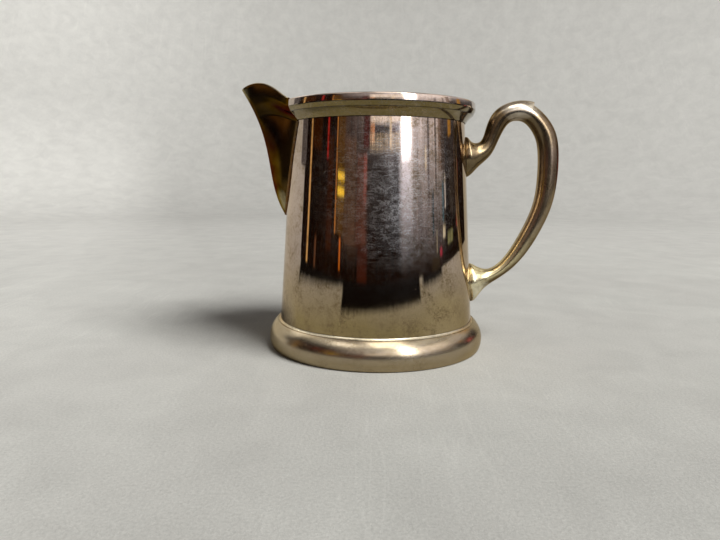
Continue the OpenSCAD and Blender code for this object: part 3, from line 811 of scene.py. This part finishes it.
# Solder is dark with tarnish; low down, round the foot, it is painted pale, a painted highlight
# along the seam
solder_metal = plate(
    "solder_metal", (0.20, 0.15, 0.08), (0.16, 0.115, 0.05), (0.10, 0.07, 0.03),
    polish=0.22, haze=0.2, low=((0.68, 0.60, 0.43), 0.030, 0.040, 0.001),
    tarnish_and_painted_spots=(((-35, 0, 66), 30, (0.15, 0.07, 0.016), (0.40, 0.20, 0.06)),),
    glance=(0.85, 0.65, 0.45),
)

# Pieces

drum = make("drum_wall", *drum_mesh(), drum_plate)
fit(drum, "drum_plate", "drum")
foot = make("foot_moulding", *lathe(foot_profile()), foot_plate)
fit(foot, "foot_plate", "foot_ring")
rim = make("rim_band", *lathe(rim_profile(), RIM_GAP_A - 180, 180 - RIM_GAP_A), rim_plate)
fit(rim, "rim_plate", "rim_moulding")
spout = make("pouring_spout", *spout_mesh(), spout_plate, 50)
fit(spout, "spout_plate", "spout")
handle = make("loop_handle", *handle_mesh(), handle_plate, 45)
fit(handle, "handle_plate", "handle")

disc_z = BOTTOM_RECESS
disc_low, disc_high = drum_in_r(disc_z) - SLACK, drum_in_r(disc_z + BOTTOM_T) - SLACK
disc_top = [[r, disc_z + BOTTOM_T] for r in np.linspace(disc_high, 0, 12)]
disc_foot = [[r, disc_z] for r in np.linspace(0, disc_low, 12)]
disc = make("base_disc", *lathe(disc_top + disc_foot), bottom_plate)
fit(disc, "bottom_plate", "bottom_plate")

upper_ring, lower_ring = rod_ring(0), rod_ring(HANDLE_END)
for name, mesh, node in (
    ("foot_seam", foot_solder_mesh(), "foot_solder"),
    ("base_seam", bottom_solder_mesh(), "bottom_solder"),
    ("rim_seam", rim_solder_mesh(), "rim_solder"),
    ("spout_seam", spout_solder_mesh(), "spout_solder"),
    ("upper_shield_seam", shield_solder_mesh(upper_ring, SHIELD_UP_Z), "upper_handle_solder"),
    ("lower_shield_seam", shield_solder_mesh(lower_ring, SHIELD_LOW_Z), "lower_handle_solder"),
):
    fit(make(name, *mesh, solder_metal, 60), "solder", node)

# Floor and backdrop: one pale sheet that curves up all round

FLOOR_R, SWEEP_R, SWEEP_TOP, SWEEP_STEPS = 0.75, 0.55, 1.30, 128
SHEET_DARK, SHEET_MID, SHEET_PALE = (0.56, 0.55, 0.508), (0.60, 0.595, 0.548), (0.70, 0.69, 0.642)


def sweep_mesh():
    flat = [(r, 0.0) for r in np.linspace(0.0, FLOOR_R, 30)]
    bend = [
        (FLOOR_R + SWEEP_R * math.sin(a), SWEEP_R * (1 - math.cos(a)))
        for a in np.linspace(0, math.pi / 2, 24)[1:]
    ]
    wall = [(FLOOR_R + SWEEP_R, z) for z in np.linspace(SWEEP_R, SWEEP_TOP, 8)[1:]]
    line = flat + bend + wall
    points = [
        (r * math.cos(a) / MM, r * math.sin(a) / MM, z / MM)
        for a in np.linspace(0, 2 * math.pi, SWEEP_STEPS, endpoint=False)
        for r, z in line
    ]
    n = len(line)
    faces = []
    for t in range(SWEEP_STEPS):
        a, b = t * n, (t + 1) % SWEEP_STEPS * n
        faces += [(a + j, b + j, b + j + 1, a + j + 1) for j in range(n - 1)]
    return points, faces


def sheet_material():
    material, tree, shader = new_material("grey_sheet")
    place = add(tree, "TexCoord").outputs["Object"]
    cloud = noise(tree, place, 9, 4, 0.5, 0.4)
    mottle = noise(tree, place, 45, 5, 0.6, 0.5)
    grain = noise(tree, place, 1300, 3, 0.7)
    tint = blend(tree, span(tree, cloud, 0.35, 0.65), rgb(*SHEET_DARK), rgb(*SHEET_MID))
    across, depth, rise = (add(tree, "SeparateXYZ", {0: place}).outputs[k] for k in "XYZ")

    def distance(x, y, z):
        off = add(tree, "VectorMath", {0: place, 1: (x, y, z)}, operation="SUBTRACT").outputs[0]
        return add(tree, "VectorMath", {0: off}, operation="LENGTH").outputs["Value"]

    # Painted light and shade on the sheet: paler away from the lamp and towards the top, so that it
    #     # looks even, a painted shade high in the middle of the back and on the floor nearest the
    #     camera,
    #     # paler towards the left, and palest in a painted pool of light low on the left
    pale = span(tree, distance(0.16, -0.22, 0.0), 0.24, 0.80)
    tint = blend(tree, pale, tint, rgb(*SHEET_PALE))
    level = span(tree, rise, 0.0, 0.45, 1.0, 1.30)
    level = times(tree, level, span(tree, distance(0.05, 1.25, 0.60), 0.10, 0.75, 0.84, 1.0))
    level = times(tree, level, span(tree, across, -0.65, -0.25, 1.06, 0.90))
    level = times(tree, level, span(tree, depth, -0.11, 0.02, 0.88, 1.0))
    # The painted pool of light on the floor's left
    left = plus(tree, across, times(tree, plus(tree, depth, 0.2), 0.38))
    left = span(tree, left, -0.07, 0.04, 0.31, 0.02)
    left = times(tree, left, span(tree, rise, 0.05, 0.22, 1.0, 0.0))
    level = times(tree, level, plus(tree, left, 1.0))
    tint = blend(tree, 1.0, tint, level, "MULTIPLY")
    shade = span(tree, mottle, 0.3, 0.7, 0.93, 1.05)
    shade = times(tree, shade, span(tree, grain, 0.3, 0.7, 0.88, 1.08))
    fibres = scratches(tree, place, (0.0, 0.0, 0.7), (160, 12, 1), 0.02)
    shade = plus(tree, shade, times(tree, fibres, span(tree, cloud, 0.4, 0.6, 0.0, 0.05)))
    tint = blend(tree, 1.0, tint, shade, "MULTIPLY")
    tree.links.new(tint, shader.inputs["Base Color"])
    shader.inputs["Roughness"].default_value = 0.85
    shader.inputs["Specular IOR Level"].default_value = 0.2
    bump = add(tree, "Bump", {"Height": grain, "Strength": 0.3, "Distance": 0.0006})
    tree.links.new(bump.outputs[0], shader.inputs["Normal"])
    return material


sweep = make("grey_sweep", *sweep_mesh(), sheet_material())
sweep.data.flip_normals()
# The sheet throws no light back on itself, so the shadow beside the foot stays deep
sweep.visible_diffuse = False
sweep.visible_shadow = False

# Room: cards that only the metal sees. Azimuths are in degrees from the camera's side, positive
# towards the handle, and heights are in metres.

ROOM_LIGHT = (1.30, 1.36, 1.46)
WALL_R, GLOWS_R, THINGS_R, BLIND_R, CARD_STEP = 0.62, 0.615, 0.61, 0.59, 0.0004


def only_reflected(card):
    card.visible_camera = False
    card.visible_diffuse = False
    card.visible_shadow = False
    card.visible_transmission = False
    card.visible_volume_scatter = False


def wall_card(name, start, end, low, high, material, r):
    steps = max(1, int((end - start) / 3))
    points = []
    for a in np.radians(np.linspace(start, end, steps + 1)):
        for z in (low, high):
            points.append((r * math.sin(a) / MM, -r * math.cos(a) / MM, z / MM))
    faces = [(2 * i, 2 * i + 2, 2 * i + 3, 2 * i + 1) for i in range(steps)]
    only_reflected(make(name, points, faces, material))


def glow(name):
    """Material that gives light, with its place, azimuth in degrees, height and soft streaks."""
    material = bpy.data.materials.new(name)
    material.use_nodes = True
    material.cycles.emission_sampling = "NONE"
    tree = material.node_tree
    tree.nodes.clear()
    place = add(tree, "TexCoord").outputs["Object"]
    x, y, z = (add(tree, "SeparateXYZ", {0: place}).outputs[k] for k in "XYZ")
    around = maths(tree, "ARCTAN2", x, times(tree, y, -1.0))
    around = times(tree, around, math.degrees(1.0))
    spot = add(tree, "CombineXYZ", {"X": around, "Y": times(tree, z, 14.0)}).outputs[0]
    return material, tree, place, around, z, noise(tree, spot, 0.55, 4, 0.6)


def room_light(tree, colour, strength):
    """Light of the given colour and strength, at the level of the room."""
    colour = blend(tree, 1.0, colour, rgb(*ROOM_LIGHT), "MULTIPLY")
    return add(tree, "Emission", {"Color": colour, "Strength": strength})


def finish_glow(tree, colour, strength, cover):
    """Light that is clear where cover is zero."""
    light = room_light(tree, colour, strength)
    clear = add(tree, "BsdfTransparent")
    both = add(tree, "MixShader", {0: cover})
    tree.links.new(clear.outputs[0], both.inputs[1])
    tree.links.new(light.outputs[0], both.inputs[2])
    out = add(tree, "OutputMaterial")
    tree.links.new(both.outputs[0], out.inputs["Surface"])


def add_glow(tree, colour, strength):
    """Light that adds to what lies behind."""
    light = room_light(tree, colour, strength)
    both = add(tree, "AddShader", {0: add(tree, "BsdfTransparent").outputs[0], 1: light.outputs[0]})
    out = add(tree, "OutputMaterial")
    tree.links.new(both.outputs[0], out.inputs["Surface"])


def window_between(tree, value, low, high, soft_low, soft_high):
    """One between two limits, with a soft fall inside each."""
    up = span(tree, value, low, low + soft_low)
    return times(tree, up, span(tree, value, high - soft_high, high, 1.0, 0.0))


# Dim shelves all round the front, in uneven upright streaks, under a paler wall
material, tree, place, around, z, streak = glow("room_shelves")
SHELF_DARK, SHELF_BROWN = (0.002, 0.001, 0.0005), (0.016, 0.005, 0.001)
SHELF_WARM, WALL_PALE = (0.07, 0.035, 0.018), (0.74, 0.70, 0.64)
shade = blend(tree, span(tree, streak, 0.35, 0.62), rgb(*SHELF_DARK), rgb(*SHELF_BROWN))
warm = window_between(tree, around, -50, -8, 14.0, 8.0)
warm = times(tree, warm, span(tree, z, 0.02, 0.05))
warm = times(tree, warm, span(tree, streak, 0.3, 0.7))
shade = blend(tree, warm, shade, rgb(*SHELF_WARM))
shade = blend(tree, span(tree, z, 0.36, 0.80), shade, rgb(*WALL_PALE))
finish_glow(tree, shade, 1.0, 1.0)
wall_card("room_wall", -101.5, 138, -0.01, 1.1, material, WALL_R)

# Walls near the window, lit from it: paler towards the top, as (start, end, height at which the
# light is full, colour, level, how fast it fades below, soft start and end, streaks)
GLOWS = (
    ("window_glow", 25, 44, 0.20, (0.93, 0.93, 1.0), 1.9, 1.7, 6.0, 3.0, 0.15),
    ("side_glow", 41, 92, 0.185, (1.0, 0.90, 0.86), 0.62, 1.35, 2.0, 8.0, 1.1),
    ("haze_glow", 4, 28, 0.20, (0.90, 0.88, 0.96), 0.45, 8.0, 9.0, 2.0, 0.6),
    ("high_glow", -50, 138, 0.25, (0.95, 0.88, 0.86), 0.60, 6.0, 60.0, 1.0, 0.4),
)
for number, (name, start, end, full, colour, top, fade, *soft, uneven) in enumerate(GLOWS):
    material, tree, place, around, z, streak = glow(name)
    rise = maths(tree, "POWER", span(tree, z, 0.0, full), fade)
    rise = times(tree, rise, window_between(tree, around, start, end, *soft))
    rise = times(tree, rise, span(tree, streak, 0.3, 0.7, 1 - uneven / 2, 1 + uneven / 2))
    add_glow(tree, rgb(*colour), times(tree, rise, top))
    wall_card("room_" + name, start, end, 0.0, 0.50, material, GLOWS_R - CARD_STEP * number)

# What stands in the room: azimuth, width, foot, top, colour and how soft its sides are
THINGS = (
    ("left_slab", -105, 11, 0.115, 0.27, (0.12, 0.105, 0.10), 1.0),
    ("gold_line", -90, 2.6, 0.0, 0.27, (0.85, 0.50, 0.18), 0.8),
    ("brown_case", -80, 15, 0.15, 0.27, (0.042, 0.011, 0.0005), 2.0),
    ("low_line", -77, 2.6, 0.0, 0.045, (0.15, 0.065, 0.030), 1.0),
    ("red_line", -63, 2.0, 0.145, 0.27, (0.60, 0.030, 0.02), 1.0),
    ("dim_red_case", -58, 7, 0.03, 0.18, (0.040, 0.009, 0.001), 2.0),
    ("amber_line", -50, 1.4, 0.055, 0.27, (0.60, 0.24, 0.05), 0.5),
    ("ochre_case", -44, 9, 0.055, 0.27, (0.11, 0.052, 0.010), 2.0),
    ("sign_top", -43.5, 9, 0.124, 0.138, (1.70, 1.15, 0.10), 0.6),
    ("sign_foot", -43.5, 9, 0.104, 0.119, (1.70, 1.15, 0.10), 0.6),
    ("sign_shelf", -43.5, 9, 0.085, 0.098, (0.22, 0.12, 0.03), 0.6),
    ("low_gold", -43, 1.6, 0.010, 0.055, (0.75, 0.20, 0.02), 0.6),
    ("olive_case", -32, 14, 0.045, 0.185, (0.115, 0.062, 0.035), 3.0),
    ("maroon_case", -18, 12, 0.045, 0.165, (0.130, 0.050, 0.030), 2.5),
    ("low_maroon", -16, 11, 0.0, 0.050, (0.060, 0.014, 0.006), 2.5),
    ("rose_edge", -14, 3.4, 0.10, 0.165, (0.32, 0.11, 0.09), 1.2),
    ("top_amber", -6, 5, 0.176, 0.23, (0.75, 0.34, 0.15), 1.2),
    ("top_rose", -13, 7, 0.170, 0.23, (0.09, 0.018, 0.012), 2.0),
    ("window", 35, 11, 0.150, 0.32, (2.3, 2.3, 2.45), 2.0),
    ("top_band", 10.5, 38, 0.201, 0.27, (1.25, 1.12, 0.98), 1.5),
    ("left_pane", 5.5, 17, 0.1865, 0.202, (0.02, 0.015, 0.03), 1.0),
    ("right_pane", 22, 8, 0.186, 0.200, (0.10, 0.06, 0.10), 1.0),
    ("pane_bar", 16, 2.4, 0.170, 0.225, (1.00, 0.84, 0.60), 0.6),
    ("brown_post", 65, 2.4, 0.08, 0.23, (0.13, 0.10, 0.09), 0.8),
    ("pale_post", 61, 2.4, 0.132, 0.165, (1.00, 0.88, 0.66), 0.8),
    ("dark_post", 76, 1.8, 0.10, 0.23, (0.10, 0.07, 0.05), 0.6),
    ("dark_case", 88, 7, 0.12, 0.19, (0.07, 0.045, 0.030), 1.5),
    ("warm_case", 83, 5, 0.12, 0.27, (0.26, 0.18, 0.13), 2.0),
    ("pearl_line", 91, 1.6, 0.070, 0.118, (0.90, 0.88, 0.85), 0.6),
    ("teal_line", 87, 2.2, 0.055, 0.11, (0.06, 0.17, 0.24), 0.8),
    ("teal_post", 71, 2.2, 0.045, 0.105, (0.03, 0.07, 0.09), 0.8),
    ("gold_box", 102, 6, 0.155, 0.23, (0.50, 0.25, 0.04), 1.5),
    ("grey_case", 103, 9, 0.06, 0.15, (0.035, 0.025, 0.018), 1.5),
    ("green_box", 99, 10, 0.022, 0.042, (0.26, 0.27, 0.13), 1.5),
    ("pale_box", 88, 4, 0.034, 0.054, (0.90, 0.84, 0.62), 1.2),
    ("red_case", 116, 6, 0.035, 0.120, (1.00, 0.20, 0.20), 1.2),
    ("red_ball", 82, 3.5, 0.014, 0.029, (0.42, 0.035, 0.06), 1.2),
    ("right_gold", 130, 14, 0.22, 0.40, (0.55, 0.36, 0.16), 2.0),
    ("slate_line", 76, 1.6, 0.020, 0.055, (0.34, 0.30, 0.20), 0.6),
    ("low_box", 74, 12, 0.0, 0.022, (0.05, 0.035, 0.02), 2.0),
)
for number, (name, azimuth, width, low, high, colour, soft) in enumerate(THINGS):
    material, tree, place, around, z, streak = glow(name)
    start, end = azimuth - width / 2 - soft / 2, azimuth + width / 2 + soft / 2
    cover = window_between(tree, around, start, end, soft, soft)
    cover = times(tree, cover, window_between(tree, z, low, high, 0.003, 0.006))
    finish_glow(tree, rgb(*colour), span(tree, streak, 0.3, 0.7, 0.6, 1.3), cover)
    wall_card("room_" + name, start, end, low, high, material, THINGS_R - CARD_STEP * number)

# A blind beside the window, from one azimuth to the other

BLIND_FROM, BLIND_TO, SLAT_PITCH, BLIND_TINT = -10.0, 29.0, 0.0045, (0.95, 0.78, 0.52)
material, tree, place, around, z, streak = glow("blind")
slats = maths(tree, "SINE", times(tree, z, math.tau / SLAT_PITCH))
cover = window_between(tree, around, BLIND_FROM, BLIND_TO, 2.0, 1.5)
cover = times(tree, cover, window_between(tree, z, 0.160, 0.188, 0.010, 0.002))
cover = times(tree, cover, span(tree, slats, -0.2, 0.5, 0.0, 0.9))
finish_glow(tree, rgb(*BLIND_TINT), span(tree, streak, 0.4, 0.6, 0.5, 1.3), cover)
wall_card("room_blind", BLIND_FROM, BLIND_TO, 0.15, 0.20, material, BLIND_R)

# The floor falls into shade beyond the sheet's edge: azimuths, distance of the edge at each, how
# far it wanders, how wide it fades and how soft its ends are
SHADES = (
    ("left", -101, -35, 0.19, 0.37, 0.09, 0.14, 1.2),
    ("near", -38, 51.5, 0.160, 0.225, 0.03, 0.06, 1.5),
    ("right", 53, 84, 0.28, 0.33, 0.12, 0.12, 3.0),
)
SHADE_TINT, SHADE_INNER_R, SHADE_OUTER_R = (0.006, 0.004, 0.003), 0.13, 0.62
for number, (name, start, end, first, last, wander, fade, soft) in enumerate(SHADES):
    material, tree, place, around, z, streak = glow(name + "_shade")
    away = add(tree, "VectorMath", {0: place}, operation="LENGTH").outputs["Value"]
    edge = span(tree, around, start, end, first, last)
    edge = plus(tree, edge, span(tree, streak, 0.3, 0.7, 0.0, wander))
    cover = span(tree, maths(tree, "SUBTRACT", away, edge), 0.0, fade)
    cover = times(tree, cover, window_between(tree, around, start, end, soft, soft))
    finish_glow(tree, rgb(*SHADE_TINT), 1.0, cover)
    points = []
    turns = np.radians(np.linspace(start, end, 40))
    for a in turns:
        for r in (SHADE_INNER_R, SHADE_OUTER_R):
            points.append((r * math.sin(a) / MM, -r * math.cos(a) / MM, 0.4 + 0.1 * number))
    faces = [(2 * i, 2 * i + 1, 2 * i + 3, 2 * i + 2) for i in range(len(turns) - 1)]
    only_reflected(make("room_%s_shade" % name, points, faces, material))

# Light


def lamp(name, azimuth, elevation, distance, width, height, level, colour=(1, 1, 1)):
    """Soft rectangular lamp that faces the jug. level is its radiance."""
    data = bpy.data.lights.new(name, "AREA")
    data.shape, data.size, data.size_y = "RECTANGLE", width, height
    data.energy = level * math.pi * width * height
    data.color = colour
    item = bpy.data.objects.new(name, data)
    scene.collection.objects.link(item)
    a, e = math.radians(azimuth), math.radians(elevation)
    way = Vector((math.sin(a) * math.cos(e), -math.cos(a) * math.cos(e), math.sin(e)))
    item.location = way * distance + Vector((0, 0, 0.045))
    item.rotation_euler = way.to_track_quat("Z", "Y").to_euler()
    item.visible_camera = False
    return item


window = lamp("window", 35, 30, 0.58, 0.13, 0.40, 7.0, (0.96, 0.98, 1.0))
window.visible_diffuse = False
key = lamp("key", 56, 54, 2.0, 0.90, 0.90, 18.4)
key.visible_glossy = False
overhead = lamp("overhead", 22, 64, 0.85, 0.40, 0.40, 4.0, (1.0, 0.98, 0.94))
overhead.visible_diffuse = False
left_fill = lamp("left_fill", -120, 40, 0.80, 0.40, 0.30, 1.0)
left_fill.visible_diffuse = False
high_fill = lamp("high_fill", -45, 52, 0.85, 0.35, 0.30, 1.5)
high_fill.visible_diffuse = False
# Light on the far side of the sheet, which the metal doesn't see
wash = lamp("wash", 0, 40, 0.10, 1.2, 0.5, 1.2)
wash.location = (-0.45, 0.15, 0.75)
wash.rotation_euler = (math.radians(84), 0, 0)
wash.visible_glossy = False

AIR_TINT, AIR_SEEN_IN_METAL = (0.095, 0.09, 0.09), (0.30, 0.27, 0.25)
world = bpy.data.worlds.new("room_air")
scene.world = world
world.use_nodes = True
air = world.node_tree.nodes["Background"]
seen = add(world.node_tree, "LightPath").outputs["Is Glossy Ray"]
shade = blend(world.node_tree, seen, rgb(*AIR_TINT), rgb(*AIR_SEEN_IN_METAL))
world.node_tree.links.new(shade, air.inputs["Color"])

# Camera, at the photograph's place and angle

CAMERA_PITCH, CAMERA_YAW, CAMERA_ROLL = 8.62, 1.54, 0.46
CAMERA_PLACE = (0, -0.2154, 0.0590)
camera_data = bpy.data.cameras.new("camera")
camera_data.sensor_width, camera_data.lens = 36, 30
camera_data.clip_start = 0.01
camera = bpy.data.objects.new("camera", camera_data)
scene.collection.objects.link(camera)
turn = Matrix.Rotation(math.radians(CAMERA_YAW), 4, "Z")
turn = turn @ Matrix.Rotation(math.radians(90 - CAMERA_PITCH), 4, "X")
turn = turn @ Matrix.Rotation(math.radians(CAMERA_ROLL), 4, "Z")
camera.matrix_world = Matrix.Translation(CAMERA_PLACE) @ turn
scene.camera = camera

scene.view_settings.view_transform = "Standard"
